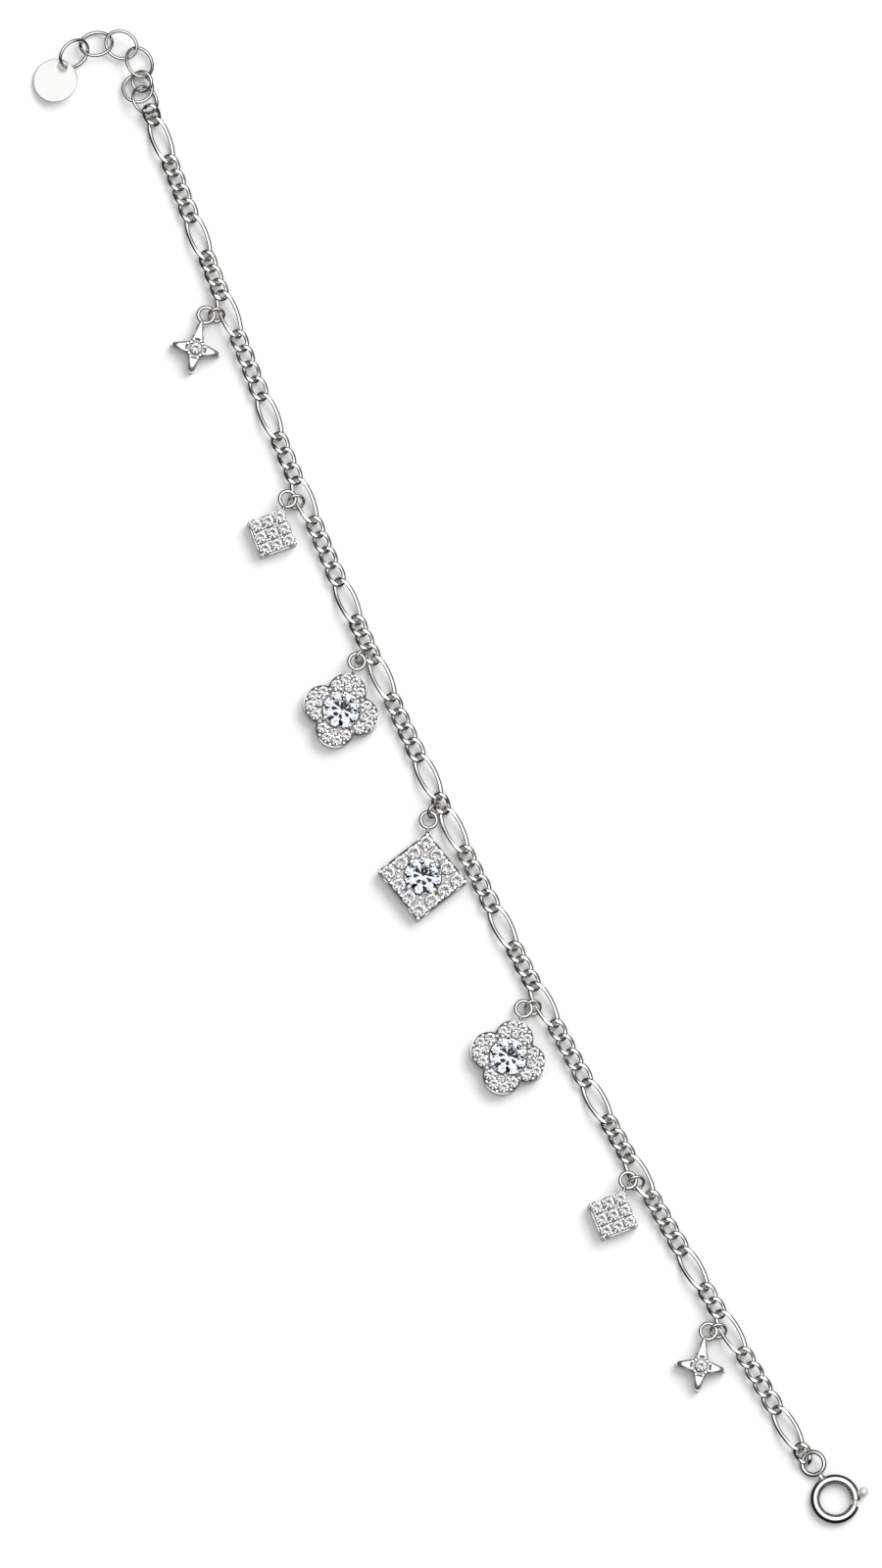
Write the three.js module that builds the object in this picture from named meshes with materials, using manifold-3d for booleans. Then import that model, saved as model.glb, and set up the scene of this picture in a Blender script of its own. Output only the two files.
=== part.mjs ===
// A charm anklet, unfastened and laid out flat. Millimetres, +Z up.
// A figaro chain of curb links runs along +X, from an extender chain with a disc tag to a spring-ring
// clasp. Seven stone-set charms hang from it on jump rings, on its -Y side, with their backs on z = 0.

import * as THREE from 'three';
import { mergeVertices } from 'three/addons/utils/BufferGeometryUtils.js';
import Module from 'manifold-3d';

const wasm = await Module();
wasm.setup();

// ---- Driving dimensions ----

// The line that the chain follows, from the first link to the last.
const route = {
  span: 215,
  sag: 6, // how far the middle lies toward -Y
  restHeight: 0.78, // of a link's centre above the table
  liftFlat: 3.5, // each way from a charm, the chain stays at the height its jump ring holds it
  liftReach: 11.8, // and by here it is down at the rest height again
};

const wire = {
  long: 0.46,
  shortWidth: 0.44,
  shortHeight: 0.46,
  jumpRing: 0.42,
  extender: 0.46,
  bail: 0.46,
  sides: 5,
  longSides: 4,
};

// Curb links: ovals with their two ends twisted, so that each passes through the next.
const longLink = { halfLength: 3.52, halfWidth: 1.22, twist: 0.52, steps: 12 };
const shortLink = { halfLength: 1.47, halfWidth: 1.02, twist: 0.215, looseTwist: 0.38, steps: 8 };
const pitch = { longToShort: 4, shortToShort: 2.3, wideExtra: 0.2 };
const wideLink = { run: 4, extraLength: 0.2, extraWidth: 0.06 }; // a run of four ends in a wider link

const jumpRing = { radius: 1.05, steps: 8 };
const extender = { steps: 10 };
const bail = { radius: 1.1, neckLength: 1, steps: 8 };

const plateTop = 1.9;
const plateSegments = { rounded: 3, square: 1 }; // to each arc of a plate's outline
const pave = { rise: 0.22, topShare: 0.6, sides: 5 };
const brilliant = { radius: 2.6, tableRadius: 1.45, culet: 0.3, girdle: 2.3, girdleHeight: 0.12, table: 3.1 };
const pocket = { clearance: 0.15, opening: 0.3, beyond: 1, sides: 10 };

const star = {
  longArm: 4.15,
  arm: 3.4,
  waist: 1.4,
  tipHalfWidth: 0.22,
  stone: 0.75,
  bead: { distance: 1.3, radius: 0.3, topRadius: 0.18, height: 1, sides: 5 },
};
const square = { side: 5.5, corner: 0.25, stones: 3, stonePitch: 1.83, stone: 0.8 };
const clover = {
  lobe: 2.75,
  lobeOffset: 1.9,
  stone: 0.72,
  stoneDistance: 1.85,
  stoneAngles: [-72, -24, 24, 72],
};
const diamond = { side: 9.1, corner: 0.35, stones: 4, stonePitch: 2.3, stone: 0.85 };

const tag = { radius: 3.2, thickness: 0.42, hole: 0.7, holeDistance: 2.3, segments: 10 };

const clasp = {
  centre: [219.8, 1.05, 0.69],
  radius: 2.85,
  tube: 0.64,
  mouth: [44.5, 61.5], // degrees round the ring, where the trigger's tongue closes it
  socketEnd: 38,
  bore: 0.44,
  boreEnd: 135,
  slot: [74, 112],
  slotWidth: 0.46,
  cutBeyond: 2, // degrees by which the bore and the socket run out past the mouth
  eye: { distance: 5.89, direction: 186.5, radius: 1.6, wire: 0.55, height: 0.943, tilt: 21.8 },
  neck: { from: 3.25, to: 4.6, width: 1, height: 0.55, rise: 0.1 },
  tongue: { radius: 0.29, ends: [41, 100], stemAt: 79.6, stem: 0.17, knob: 0.67, knobDistance: 4.17 },
  sides: { tube: 8, bore: 6, tongue: 6, knob: 10 },
  steps: { ring: 16, bore: 5, socket: 1, slot: 3, eye: 10, tongue: 5, knob: 6 },
};

const silver = { color: 0xd9dadb, roughness: 0.18, metalness: 1 };
const stoneWhite = { color: 0xf2f5f8, roughness: 0.02, metalness: 0 };

// ---- Tables ----

// Turns rows of values into objects with named columns.
function table(columns, rows) {
  return rows.map((row) => Object.fromEntries(columns.map((column, i) => [column, row[i]])));
}

// Long links, each with the number of short links between it and the one before.
const stations = table(['shortLinks', 'x'], [
  [0, 4.45], [4, 19.2], [3, 31.1], [4, 46.7], [3, 59.7], [4, 75.35], [3, 87.3], [4, 102.75],
  [1, 111.25], [4, 126.65], [3, 139.05], [4, 154.65], [3, 166.8], [4, 181.85], [2, 192.35], [4, 208],
]);

// The single short links at the chain's two ends, which tip to pass through the rings beyond them.
const endLinks = table(['name', 'x', 'height', 'twist', 'rollSlope', 'pitchSlope'], [
  ['short_links_01', 0.6, 0.972, 0.442, -0.044, -0.118],
  ['short_links_17', 212.1, 0.724, 0.367, -0.151, 0.009],
]);

// Charms: the shape, the x of the link that carries it and how far it lifts that link, then from that
// link's centre line the bail's centre and the jump ring's, the jump ring's axis, and the way the bail
// points from the charm's middle.
const charms = table(
  [
    'name', 'shape', 'x', 'lift', 'bailX', 'bailY', 'bailZ',
    'ringX', 'ringY', 'ringZ', 'azimuth', 'tilt', 'up',
  ],
  [
    ['star_1', 'star', 31.1, 0.32, -1.29, -2.96, 1.01, -0.69, -1.65, 0.955, 338.6, 42, 142.3],
    ['square_1', 'square', 59.7, 0.2, -1.15, -2.1, 1.42, -0.29, -1.18, 1.25, 340, 40.7, 130.5],
    ['clover_1', 'clover', 83.5, 0.21, 0.21, -2.35, 1.56, -0.12, -1.37, 1.27, 17, 54.5, 136.5],
    ['diamond', 'diamond', 107, 0.1, 1.36, -2.61, 1.05, 0.475, -1.37, 1.127, 25.9, 57.5, 148],
    ['clover_2', 'clover', 139.05, 0.13, -0.73, -2.85, 0.9, -0.32, -1.62, 0.895, 342.5, 35.8, 136.5],
    ['square_2', 'square', 166.8, 0.02, -0.11, -1.76, 1.55, 0.67, -0.88, 1.35, 341.8, 42.1, 131],
    ['star_2', 'star', 192.35, 0.35, -1.55, -2.8, 1.07, -1.03, -1.52, 1.04, 339.4, 38.8, 146.5],
  ],
);

// Rings of the extender: the centre, the half-lengths along and across, the direction of the long way,
// and how steeply the ring rises along and across.
const extenderRings = table(
  ['name', 'x', 'y', 'z', 'along', 'across', 'direction', 'riseAlong', 'riseAcross'],
  [
    ['extender_ring_1', -11.95, -6.25, 1.34, 2.25, 1.85, -75, -0.01, -0.72],
    ['extender_ring_2', -11.95, -2.75, 1.05, 2.25, 1.85, -105, -0.05, 0.35],
    ['extender_ring_3', -10.28, 0.35, 1.38, 2.25, 1.9, 41, 0.03, 0.36],
    ['extender_ring_4', -6.93, 1.61, 1.25, 2.25, 1.85, -8, 0.12, -0.31],
    ['extender_ring_5', -4.28, 0.71, 1.35, 1.42, 1.42, 0, -0.1, 0.56],
    ['end_ring', -1.74, -0.02, 1.2, 2, 1.95, 0, -0.04, -0.56],
    ['spare_ring', -3.7, -0.16, 0.85, 2.05, 2.05, 0, 0.2, 0.03],
  ],
);

const tagPlace = { x: -9.65, y: -10.3, z: 1.06, direction: 127.8, riseAlong: 0.03, riseAcross: -0.27 };

// ---- Geometry helpers ----

const degrees = (angle) => THREE.MathUtils.degToRad(angle);
const polar = (distance, angle) => [distance * Math.cos(degrees(angle)), distance * Math.sin(degrees(angle))];
const range = (count) => Array.from({ length: count }, (_, i) => i);
const upward = new THREE.Vector3(0, 0, 1);

// Sections to carry along a curve: a regular polygon for round wire, and the flat-faced curb wire.
function roundSection(radius, sides) {
  return range(sides).map((i) => polar(radius, (360 * i) / sides));
}

function flatSection(width, height) {
  return [[-1, -1], [1, -1], [1, 1], [-1, 1]].map(([x, y]) => [(x * width) / 2, (y * height) / 2]);
}

// Carries a section along a curve, with the section's second axis leaning toward facing.
function sweep(curve, section, steps, facing, closed) {
  const count = closed ? steps : steps + 1;
  const positions = [];
  for (const i of range(count)) {
    const t = i / steps;
    const point = curve.getPoint(t);
    const tangent = curve.getTangent(t);
    const side = facing.clone().cross(tangent).normalize();
    const up = tangent.clone().cross(side);
    for (const [across, above] of section) {
      positions.push(...point.clone().addScaledVector(side, across).addScaledVector(up, above).toArray());
    }
  }
  const sides = section.length;
  const index = [];
  for (const i of range(steps)) {
    const here = i * sides;
    const next = ((i + 1) % count) * sides;
    for (const j of range(sides)) {
      const k = (j + 1) % sides;
      index.push(here + j, here + k, next + k, here + j, next + k, next + j);
    }
  }
  if (!closed) {
    const last = steps * sides;
    for (const j of range(sides - 2)) {
      index.push(0, j + 2, j + 1, last, last + j + 1, last + j + 2);
    }
  }
  const geometry = new THREE.BufferGeometry();
  geometry.setAttribute('position', new THREE.Float32BufferAttribute(positions, 3));
  geometry.setIndex(index);
  return geometry;
}

// An oval in space: centre + a cos t along one axis + b sin t along the other, its two ends twisted
// out of the plane by -twist sin 2t.
class Oval extends THREE.Curve {
  constructor(centre, alongAxis, acrossAxis, a, b, twist = 0) {
    super();
    this.normal = alongAxis.clone().cross(acrossAxis);
    Object.assign(this, { centre, alongAxis, acrossAxis, a, b, twist });
  }

  getPoint(t, target = new THREE.Vector3()) {
    const angle = 2 * Math.PI * t;
    return target
      .copy(this.centre)
      .addScaledVector(this.alongAxis, this.a * Math.cos(angle))
      .addScaledVector(this.acrossAxis, this.b * Math.sin(angle))
      .addScaledVector(this.normal, -this.twist * Math.sin(2 * angle));
  }
}

// Part of a level circle, between two angles in degrees.
class Arc extends THREE.Curve {
  constructor(radius, from, to) {
    super();
    Object.assign(this, { radius, from, to });
  }

  getPoint(t, target = new THREE.Vector3()) {
    const [x, y] = polar(this.radius, this.from + (this.to - this.from) * t);
    return target.set(x, y, 0);
  }
}

function ovalWire(oval, section, steps) {
  return sweep(oval, section, steps, oval.normal, true);
}

function arcTube(radius, from, to, section, steps) {
  return sweep(new Arc(radius, from, to), section, steps, upward, false);
}

// Two square axes that run in a level direction, with a rise along each.
function slopedAxes(direction, riseAlong, riseAcross) {
  const [x, y] = polar(1, direction);
  const along = new THREE.Vector3(x, y, riseAlong).normalize();
  const across = new THREE.Vector3(-y, x, riseAcross);
  across.addScaledVector(along, -across.dot(along)).normalize();
  return { along, across };
}

function toSolid(geometry) {
  const bare = geometry.clone();
  bare.deleteAttribute('normal');
  bare.deleteAttribute('uv');
  const merged = mergeVertices(bare, 1e-4);
  const vertProperties = new Float32Array(merged.attributes.position.array);
  const triVerts = new Uint32Array(merged.index.array);
  return new wasm.Manifold(new wasm.Mesh({ numProp: 3, vertProperties, triVerts }));
}

function toGeometry(solid) {
  const { vertProperties, triVerts } = solid.getMesh();
  const geometry = new THREE.BufferGeometry();
  geometry.setAttribute('position', new THREE.BufferAttribute(new Float32Array(vertProperties), 3));
  geometry.setIndex(new THREE.BufferAttribute(new Uint32Array(triVerts), 1));
  return geometry;
}

function join(geometries) {
  return geometries.map(toSolid).reduce((whole, piece) => whole.add(piece));
}

function addPiece(group, name, geometry, finish) {
  geometry.computeVertexNormals();
  const mesh = new THREE.Mesh(geometry, new THREE.MeshStandardMaterial(finish));
  mesh.name = name;
  group.add(mesh);
  return mesh;
}

// ---- Chain ----

function chainPoint(x) {
  const y = -route.sag * Math.sin((Math.PI * THREE.MathUtils.clamp(x, 0, route.span)) / route.span);
  const lifts = charms.map((charm) => {
    const away = Math.abs(x - charm.x);
    return charm.lift * (1 - THREE.MathUtils.smoothstep(away, route.liftFlat, route.liftReach));
  });
  return new THREE.Vector3(x, y, route.restHeight + Math.max(...lifts));
}

// A curb link's oval, centred on the chain's line and lying along it.
function linkOval(x, link, twist) {
  const step = 0.01;
  const ahead = chainPoint(x + step).sub(chainPoint(x - step)).normalize();
  const side = upward.clone().cross(ahead).normalize();
  return new Oval(chainPoint(x), ahead, side, link.halfLength, link.halfWidth, twist);
}

function shortLinkWire(oval) {
  return ovalWire(oval, flatSection(wire.shortWidth, wire.shortHeight), shortLink.steps);
}

// The short links between two long ones, spaced evenly.
function shortRun(previous, station) {
  const count = station.shortLinks;
  const wideEnd = count === wideLink.run;
  const shorts = 2 * pitch.longToShort + (count - 1) * pitch.shortToShort;
  const stretch = (station.x - previous.x) / (shorts + (wideEnd ? 2 * pitch.wideExtra : 0));
  return range(count).map((i) => {
    const wide = wideEnd && i === count - 1;
    const step = pitch.longToShort + i * pitch.shortToShort + (wide ? pitch.wideExtra : 0);
    const link = {
      halfLength: shortLink.halfLength + (wide ? wideLink.extraLength : 0),
      halfWidth: shortLink.halfWidth + (wide ? wideLink.extraWidth : 0),
    };
    const twist = count === 1 ? shortLink.looseTwist : shortLink.twist;
    return shortLinkWire(linkOval(previous.x + step * stretch, link, twist));
  });
}

function addChain(group) {
  stations.forEach((station, i) => {
    const number = String(i + 1).padStart(2, '0');
    const oval = linkOval(station.x, longLink, longLink.twist);
    const section = roundSection(wire.long / 2, wire.longSides);
    addPiece(group, `long_link_${number}`, ovalWire(oval, section, longLink.steps), silver);
    if (i > 0) {
      const run = shortRun(stations[i - 1], station);
      addPiece(group, `short_links_${number}`, toGeometry(join(run)), silver);
    }
  });
  for (const end of endLinks) {
    const { along, across } = slopedAxes(0, end.pitchSlope, end.rollSlope);
    const centre = chainPoint(end.x).setZ(end.height);
    const oval = new Oval(centre, along, across, shortLink.halfLength, shortLink.halfWidth, end.twist);
    addPiece(group, end.name, shortLinkWire(oval), silver);
  }
}

// ---- Extender and tag ----

function addExtender(group) {
  for (const ring of extenderRings) {
    const { along, across } = slopedAxes(ring.direction, ring.riseAlong, ring.riseAcross);
    const centre = new THREE.Vector3(ring.x, ring.y, ring.z);
    const oval = new Oval(centre, along, across, ring.along, ring.across);
    const section = roundSection(wire.extender / 2, wire.sides);
    addPiece(group, ring.name, ovalWire(oval, section, extender.steps), silver);
  }
}

function addTag(group) {
  const outline = new THREE.Shape().absarc(0, 0, tag.radius, 0, 2 * Math.PI);
  outline.holes.push(new THREE.Path().absarc(tag.holeDistance, 0, tag.hole, 0, 2 * Math.PI, true));
  const disc = new THREE.ExtrudeGeometry(outline, {
    depth: tag.thickness,
    bevelEnabled: false,
    curveSegments: tag.segments,
  });
  disc.translate(0, 0, -tag.thickness / 2);
  const { along, across } = slopedAxes(tagPlace.direction, tagPlace.riseAlong, tagPlace.riseAcross);
  const frame = new THREE.Matrix4().makeBasis(along, across, along.clone().cross(across));
  const mesh = addPiece(group, 'tag', disc, silver);
  mesh.quaternion.setFromRotationMatrix(frame);
  mesh.position.set(tagPlace.x, tagPlace.y, tagPlace.z);
}

// ---- Charms ----
// Each is made with its middle on the Z axis and its bail toward +X, then turned and set in its place.

// A plate of the given outline, standing on z = 0.
function plate(shape, curveSegments) {
  return new THREE.ExtrudeGeometry(shape, { depth: plateTop, bevelEnabled: false, curveSegments });
}

// The outline of a square with rounded corners, one of them toward +X.
function roundedSquare(side, corner) {
  const shape = new THREE.Shape();
  const inner = side / 2 - corner;
  for (const i of range(4)) {
    const [x, y] = polar(inner * Math.SQRT2, 90 + 90 * i);
    const from = degrees(45 + 90 * i);
    shape.absarc(x, y, corner, from, from + Math.PI / 2);
  }
  return shape;
}

// A small set stone: a low frustum standing out of the plate.
function smallStone(x, y, radius) {
  const top = plateTop + pave.rise;
  const stone = new THREE.CylinderGeometry(radius * pave.topShare, radius, 2 * pave.rise, pave.sides);
  return stone.rotateX(Math.PI / 2).translate(x, y, top - pave.rise);
}

// A grid of stones, square to the bail's diagonal; keep(i, j) says which places have one.
function stoneGrid(count, gridPitch, radius, keep) {
  const middle = (count - 1) / 2;
  const stones = [];
  for (const i of range(count)) {
    for (const j of range(count)) {
      if (keep(i, j)) {
        const place = new THREE.Vector2((i - middle) * gridPitch, (j - middle) * gridPitch);
        place.rotateAround(new THREE.Vector2(), Math.PI / 4);
        stones.push(smallStone(place.x, place.y, radius));
      }
    }
  }
  return stones;
}

const charmShapes = {
  star() {
    const shape = new THREE.Shape();
    range(4).forEach((i) => {
      const reach = i === 0 ? star.longArm : star.arm;
      for (const side of [-1, 1]) {
        const tip = new THREE.Vector2(reach, side * star.tipHalfWidth);
        tip.rotateAround(new THREE.Vector2(), degrees(90 * i));
        shape[i === 0 && side < 0 ? 'moveTo' : 'lineTo'](tip.x, tip.y);
      }
      shape.lineTo(...polar(star.waist, 45 + 90 * i));
    });
    const { bead } = star;
    const beads = range(4).map((i) => {
      const [x, y] = polar(bead.distance, 45 + 90 * i);
      const dome = new THREE.CylinderGeometry(bead.topRadius, bead.radius, bead.height, bead.sides);
      return dome.rotateX(Math.PI / 2).translate(x, y, plateTop);
    });
    return [plate(shape, plateSegments.rounded), smallStone(0, 0, star.stone), ...beads];
  },

  square() {
    const stones = stoneGrid(square.stones, square.stonePitch, square.stone, () => true);
    return [plate(roundedSquare(square.side, square.corner), plateSegments.square), ...stones];
  },

  clover() {
    const shape = new THREE.Shape();
    const notch = Math.sqrt(clover.lobe ** 2 - clover.lobeOffset ** 2);
    const half = Math.atan2(notch, -clover.lobeOffset) - Math.PI / 4;
    const stones = [];
    for (const i of range(4)) {
      const [x, y] = polar(clover.lobeOffset * Math.SQRT2, 90 * i);
      shape.absarc(x, y, clover.lobe, degrees(90 * i) - half, degrees(90 * i) + half);
      for (const angle of clover.stoneAngles) {
        const [dx, dy] = polar(clover.stoneDistance, 90 * i + angle);
        stones.push(smallStone(x + dx, y + dy, clover.stone));
      }
    }
    return [plate(shape, plateSegments.rounded), ...stones];
  },

  diamond() {
    const last = diamond.stones - 1;
    const onBorder = (i, j) => i % last === 0 || j % last === 0;
    const stones = stoneGrid(diamond.stones, diamond.stonePitch, diamond.stone, onBorder);
    return [plate(roundedSquare(diamond.side, diamond.corner), plateSegments.square), ...stones];
  },
};

// How far each shape's bail is from its middle, how far it swings off the arm's line, in degrees, the
// width of the neck that joins them, and whether the charm has a large stone.
const mountings = {
  star: { bailAt: 5.2, swing: -5, neck: 0, largeStone: false },
  square: { bailAt: 5.45, swing: 0, neck: 0.9, largeStone: false },
  clover: { bailAt: 7.42, swing: 0, neck: 0.7, largeStone: true },
  diamond: { bailAt: 8.3, swing: 0, neck: 0.7, largeStone: true },
};

function bailAndNeck(mounting, height) {
  const centre = new THREE.Vector3(...polar(mounting.bailAt, mounting.swing), height);
  const { along, across } = slopedAxes(0, 0, 0);
  const oval = new Oval(centre, along, across, bail.radius, bail.radius);
  const ring = ovalWire(oval, roundSection(wire.bail / 2, wire.sides), bail.steps);
  if (mounting.neck === 0) {
    return [ring];
  }
  const neck = new THREE.BoxGeometry(bail.neckLength, mounting.neck, wire.bail);
  const distance = mounting.bailAt - bail.radius - bail.neckLength / 2;
  neck.translate(distance, 0, height).rotateZ(degrees(mounting.swing));
  return [ring, neck];
}

// Turns a profile of [radius, height] pairs round the Z axis.
function turned(profile) {
  const points = profile.map(([radius, z]) => new THREE.Vector2(radius, z));
  return new THREE.LatheGeometry(points, pocket.sides).rotateX(Math.PI / 2);
}

// A brilliant-cut stone: pavilion cone, girdle, crown and flat table.
function brilliantStone() {
  const low = brilliant.girdle - brilliant.girdleHeight / 2;
  return turned([
    [0, brilliant.culet],
    [brilliant.radius, low],
    [brilliant.radius, low + brilliant.girdleHeight],
    [brilliant.tableRadius, brilliant.table],
    [0, brilliant.table],
  ]);
}

// The seat under a brilliant, cut right through the plate: a cone that ends in a straight opening.
function seatCutter() {
  const slope = brilliant.radius / (brilliant.girdle - brilliant.culet);
  const above = plateTop + pocket.beyond;
  const coneEnd = brilliant.culet + pocket.opening / slope;
  const openingRadius = pocket.opening + pocket.clearance;
  return toSolid(
    turned([
      [0, -pocket.beyond],
      [openingRadius, -pocket.beyond],
      [openingRadius, coneEnd],
      [(above - brilliant.culet) * slope + pocket.clearance, above],
      [0, above],
    ]),
  );
}

function addCharm(group, charm) {
  const mounting = mountings[charm.shape];
  const link = chainPoint(charm.x);
  const bailCentre = new THREE.Vector3(link.x + charm.bailX, link.y + charm.bailY, 0);
  const [dx, dy] = polar(mounting.bailAt, charm.up + mounting.swing);
  const holder = new THREE.Group();
  holder.position.set(bailCentre.x - dx, bailCentre.y - dy, 0);
  holder.rotation.z = degrees(charm.up);
  group.add(holder);

  let setting = join([...charmShapes[charm.shape](), ...bailAndNeck(mounting, charm.bailZ)]);
  if (mounting.largeStone) {
    setting = setting.subtract(seatCutter());
    addPiece(holder, `${charm.name}_stone`, brilliantStone(), stoneWhite);
  }
  addPiece(holder, `${charm.name}_setting`, toGeometry(setting), silver);

  const centre = new THREE.Vector3(link.x + charm.ringX, link.y + charm.ringY, charm.ringZ);
  const [outward, rise] = [Math.sin(degrees(charm.tilt)), Math.cos(degrees(charm.tilt))];
  const axis = new THREE.Vector3(...polar(outward, charm.azimuth), rise);
  const level = axis.clone().cross(upward).normalize();
  const steep = axis.clone().cross(level);
  const oval = new Oval(centre, level, steep, jumpRing.radius, jumpRing.radius);
  const section = roundSection(wire.jumpRing / 2, wire.sides);
  addPiece(group, `${charm.name}_ring`, ovalWire(oval, section, jumpRing.steps), silver);
}

// ---- Clasp ----

function addClasp(group) {
  const holder = new THREE.Group();
  holder.position.set(...clasp.centre);
  group.add(holder);

  const { sides, steps, eye, neck, tongue } = clasp;
  const [mouthStart, mouthEnd] = clasp.mouth;
  const tube = roundSection(clasp.tube, sides.tube);
  const ring = arcTube(clasp.radius, mouthEnd, mouthStart + 360, tube, steps.ring);

  const eyeAxes = slopedAxes(eye.direction - 180, 0, Math.tan(degrees(eye.tilt)));
  const eyeCentre = new THREE.Vector3(...polar(eye.distance, eye.direction), eye.height - clasp.centre[2]);
  const eyeOval = new Oval(eyeCentre, eyeAxes.along, eyeAxes.across, eye.radius, eye.radius);
  const eyeRing = ovalWire(eyeOval, roundSection(eye.wire / 2, wire.sides), steps.eye);
  const neckBar = new THREE.BoxGeometry(neck.to - neck.from, neck.width, neck.height);
  neckBar.translate((neck.from + neck.to) / 2, 0, neck.rise).rotateZ(degrees(eye.direction));

  const bore = roundSection(clasp.bore, sides.bore);
  const boreTube = arcTube(clasp.radius, mouthEnd - clasp.cutBeyond, clasp.boreEnd, bore, steps.bore);
  const socketEnd = mouthStart + clasp.cutBeyond;
  const socket = arcTube(clasp.radius, clasp.socketEnd, socketEnd, bore, steps.socket);
  const slotSection = flatSection(2 * clasp.tube, clasp.slotWidth);
  const slot = arcTube(clasp.radius + clasp.tube, ...clasp.slot, slotSection, steps.slot);
  const body = join([ring, eyeRing, neckBar])
    .subtract(toSolid(boreTube))
    .subtract(toSolid(socket))
    .subtract(toSolid(slot));
  addPiece(holder, 'clasp_ring', toGeometry(body), silver);

  const rod = arcTube(clasp.radius, ...tongue.ends, roundSection(tongue.radius, sides.tongue), steps.tongue);
  const stemLength = tongue.knobDistance - clasp.radius;
  const stem = new THREE.CylinderGeometry(tongue.stem, tongue.stem, stemLength, sides.tongue);
  stem.rotateZ(Math.PI / 2).translate(clasp.radius + stemLength / 2, 0, 0);
  const knob = new THREE.SphereGeometry(tongue.knob, sides.knob, steps.knob);
  knob.translate(tongue.knobDistance, 0, 0);
  const grip = join([stem, knob]).rotate([0, 0, tongue.stemAt]);
  addPiece(holder, 'clasp_trigger', toGeometry(grip.add(toSolid(rod))), silver);
}

// ---- The whole anklet, with the middle of its footprint at the origin ----

const anklet = new THREE.Group();
addChain(anklet);
addExtender(anklet);
addTag(anklet);
for (const charm of charms) {
  addCharm(anklet, charm);
}
addClasp(anklet);

anklet.updateMatrixWorld(true);
const box = new THREE.Box3().setFromObject(anklet, true);
const middle = box.getCenter(new THREE.Vector3());
anklet.position.set(-middle.x, -middle.y, -box.min.z);

export default anklet;
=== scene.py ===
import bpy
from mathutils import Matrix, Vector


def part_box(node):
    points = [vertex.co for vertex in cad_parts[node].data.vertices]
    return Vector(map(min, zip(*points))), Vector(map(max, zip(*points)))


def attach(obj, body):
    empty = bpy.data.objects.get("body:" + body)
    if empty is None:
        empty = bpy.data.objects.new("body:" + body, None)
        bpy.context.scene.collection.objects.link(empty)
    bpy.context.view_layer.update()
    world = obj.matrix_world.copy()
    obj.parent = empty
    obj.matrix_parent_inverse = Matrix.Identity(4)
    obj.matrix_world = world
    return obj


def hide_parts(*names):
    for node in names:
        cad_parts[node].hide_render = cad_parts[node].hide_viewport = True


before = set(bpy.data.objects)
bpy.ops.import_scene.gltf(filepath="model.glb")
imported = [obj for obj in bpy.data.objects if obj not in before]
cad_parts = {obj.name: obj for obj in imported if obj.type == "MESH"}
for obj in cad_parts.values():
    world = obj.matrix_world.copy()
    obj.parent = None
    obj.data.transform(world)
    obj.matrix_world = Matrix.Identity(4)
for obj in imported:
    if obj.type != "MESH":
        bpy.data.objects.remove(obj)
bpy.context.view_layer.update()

import bpy
import numpy as np
from mathutils import Matrix, Vector

scene = bpy.context.scene
mm = 0.001
fullTurn = 2 * np.pi
xAxis, yAxis, zAxis = np.eye(3)


# Unit direction in the level plane at an angle in degrees: (cos, sin).
def headed(angle):
    angle = np.radians(angle)
    return np.stack([np.cos(angle), np.sin(angle)], -1)


# The same as a level direction in space.
def outward(angle):
    return np.append(headed(angle), 0)


# Level points (x, y) brought to one height: (x, y, z).
def atHeight(level, z):
    return np.concatenate([level, np.full((len(level), 1), z)], -1)


# Each vector over its own length.
def unit(vectors):
    return vectors / np.linalg.norm(vectors, axis=-1, keepdims=True)


# Smooth step: 0 below low, 1 above high, 3t squared less 2t cubed between.
def smoothStep(value, low, high):
    t = np.clip((value - low) / (high - low), 0, 1)
    return t * t * (3 - 2 * t)


# Section of round wire: half the width times cos, and half the height times sin.
def roundSection(width, height, sides):
    turn = np.arange(sides) * fullTurn / sides
    return np.stack([np.cos(turn) * width / 2, np.sin(turn) * height / 2], -1)


# Section of curb wire: round outside, and squarer inside, where |cos| and |sin| are taken to a lower power.
def curbSection(wire, sides, squareness):
    turn = (np.arange(sides) + 0.5) * fullTurn / sides
    level = np.stack([np.cos(turn), np.sin(turn)], -1)
    power = np.where(level[:, :1] > 0, squareness, 1)
    return np.sign(level) * np.abs(level) ** power * wire / 2


# Grid of rows and columns to faces. Each row is a ring. Rows join end to end when looped, else are capped.
def ringShell(points, looped=True):
    rows, columns = points.shape[:2]
    row = np.arange(rows if looped else rows - 1)[:, None]
    column = np.arange(columns)[None, :]
    nextRow, nextColumn = (row + 1) % rows, (column + 1) % columns
    here, there = row * columns, nextRow * columns
    quads = np.stack([here + column, here + nextColumn, there + nextColumn, there + column], -1)
    faces = quads.reshape(-1, 4).tolist()
    if not looped:
        faces.append(list(range(columns))[::-1])
        faces.append(list(range((rows - 1) * columns, rows * columns)))
    return points.reshape(-1, 3), faces


# Carries a section along a line: each ring is line + side * x + up * y, where side is facing cross the
# line's direction, and up is the direction cross side. swell scales the section row by row.
def wireAlong(line, section, facing, looped=True, swell=None):
    if looped:
        ahead = unit(np.roll(line, -1, 0) - np.roll(line, 1, 0))
    else:
        ahead = unit(np.gradient(line, axis=0))
    side = unit(np.cross(np.broadcast_to(facing, ahead.shape), ahead))
    up = np.cross(ahead, side)
    grown = section[None] if swell is None else section[None] * np.asarray(swell).reshape(-1, 1, 1)
    return line[:, None] + side[:, None] * grown[..., :1] + up[:, None] * grown[..., 1:]


# A bar with capped ends: a section carried along an open line.
def barShell(line, section, facing, swell=None):
    return ringShell(wireAlong(line, section, facing, looped=False, swell=swell), looped=False)


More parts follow.
